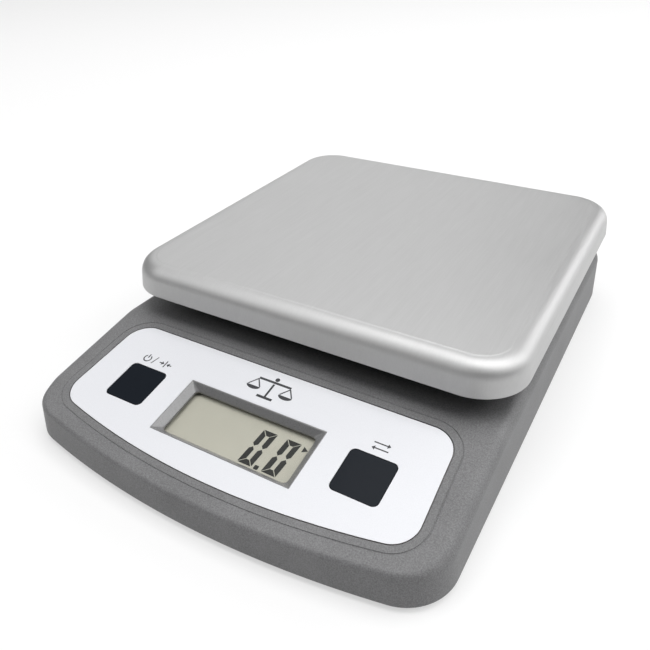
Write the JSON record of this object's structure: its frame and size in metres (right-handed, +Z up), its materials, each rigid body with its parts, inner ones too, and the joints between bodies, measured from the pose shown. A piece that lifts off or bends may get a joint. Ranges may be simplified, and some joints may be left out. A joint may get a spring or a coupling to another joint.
{
  "type": "weighing scale",
  "caption": "Low digital weighing scale with a sloped control panel, a display, two push keys and a lift-off stainless platform on a load cell.",
  "frame": {"origin": "on the table, under the middle of the body", "axes": "+X to the right, +Y to the rear, +Z up"},
  "size_m": [0.1508, 0.2064, 0.0415],
  "materials": {
    "housing_plastic": "fine textured grey",
    "dark_plastic": "fine textured dark grey",
    "label_film": "satin silver-white film",
    "bezel_plastic": "satin grey",
    "clear_lens": "clear",
    "display_glass": "grey-green display face",
    "display_ink": "dark lit segments",
    "white_plastic": "natural white",
    "contact_rubber": "striped conductive rubber",
    "circuit_board": "green solder mask",
    "chip_black": "moulded black",
    "capacitor_sleeve": "blue sleeve",
    "key_plastic": "satin black",
    "screw_steel": "zinc plated",
    "cell_aluminium": "machined",
    "gauge_film": "coated foil gauge",
    "cable_grey": "cable sheath",
    "lead_red": "wire insulation",
    "lead_black": "wire insulation",
    "stainless": "brushed along its depth",
    "pad_silicone": "soft pads",
    "battery_jacket": "printed jacket",
    "contact_metal": "nickel plated",
    "jack_plastic": "black",
    "foot_rubber": "matt rubber"
  },
  "bodies": {
    "base": {"lower_housing": "dark_plastic", "upper_housing": "housing_plastic", "panel_overlay": "label_film", "display_bezel": "bezel_plastic", "display_lens": "clear_lens", "lcd_glass": "display_glass", "lcd_segments": "display_ink", "lcd_holder": "white_plastic", "zebra_strip": "contact_rubber", "main_board": "circuit_board", "controller_chip": "chip_black", "adc_chip": "chip_black", "filter_capacitors": "capacitor_sleeve", "board_connectors": "white_plastic", "board_screws": "screw_steel", "tact_switches": "chip_black", "load_cell": "cell_aluminium", "strain_gauges": "gauge_film", "cell_spacer_lower": "cell_aluminium", "cell_screws_lower": "screw_steel", "load_cell_cable": "cable_grey", "battery_cell_1": "battery_jacket", "battery_cell_2": "battery_jacket", "battery_springs": "contact_metal", "battery_contacts": "contact_metal", "battery_leads": "lead_red", "dc_jack": "jack_plastic", "jack_pin": "contact_metal", "jack_leads": "lead_black", "housing_screws": "screw_steel", "rubber_feet": "foot_rubber"},
    "weigh_deck": {"platform_support": "dark_plastic", "overload_stops": "dark_plastic", "platform_pads": "pad_silicone", "cell_spacer_upper": "cell_aluminium", "cell_screws_upper": "screw_steel"},
    "platform": {"weighing_platform": "stainless"},
    "tare_key": {"tare_key": "key_plastic", "tare_switch_plunger": "white_plastic"},
    "unit_key": {"unit_key": "key_plastic", "unit_switch_plunger": "white_plastic"},
    "battery_door": {"battery_door": "dark_plastic"}
  },
  "joints": [
    {"name": "weigh_travel", "type": "slide", "parent": "base", "child": "weigh_deck", "axis": [0, 0, -1], "range_m": [0, 0.0007], "stiffness_N_per_m": 50000, "deforming": ["load_cell"]},
    {"name": "platform_lift", "type": "slide", "parent": "weigh_deck", "child": "platform", "axis": [0, 0, 1], "range_m": [0, 0.04]},
    {"name": "tare_key_press", "type": "slide", "parent": "base", "child": "tare_key", "axis": [0, 0.1771, -0.9842], "range_m": [0, 0.0005], "stiffness_N_per_m": 3000},
    {"name": "unit_key_press", "type": "slide", "parent": "base", "child": "unit_key", "axis": [0, 0.1771, -0.9842], "range_m": [0, 0.0005], "stiffness_N_per_m": 3000},
    {"name": "battery_door_hinge", "type": "hinge", "parent": "base", "child": "battery_door", "pos_m": [0.036, 0.055, 0.0034], "axis": [1, 0, 0], "range_deg": [0, 95]}
  ]
}
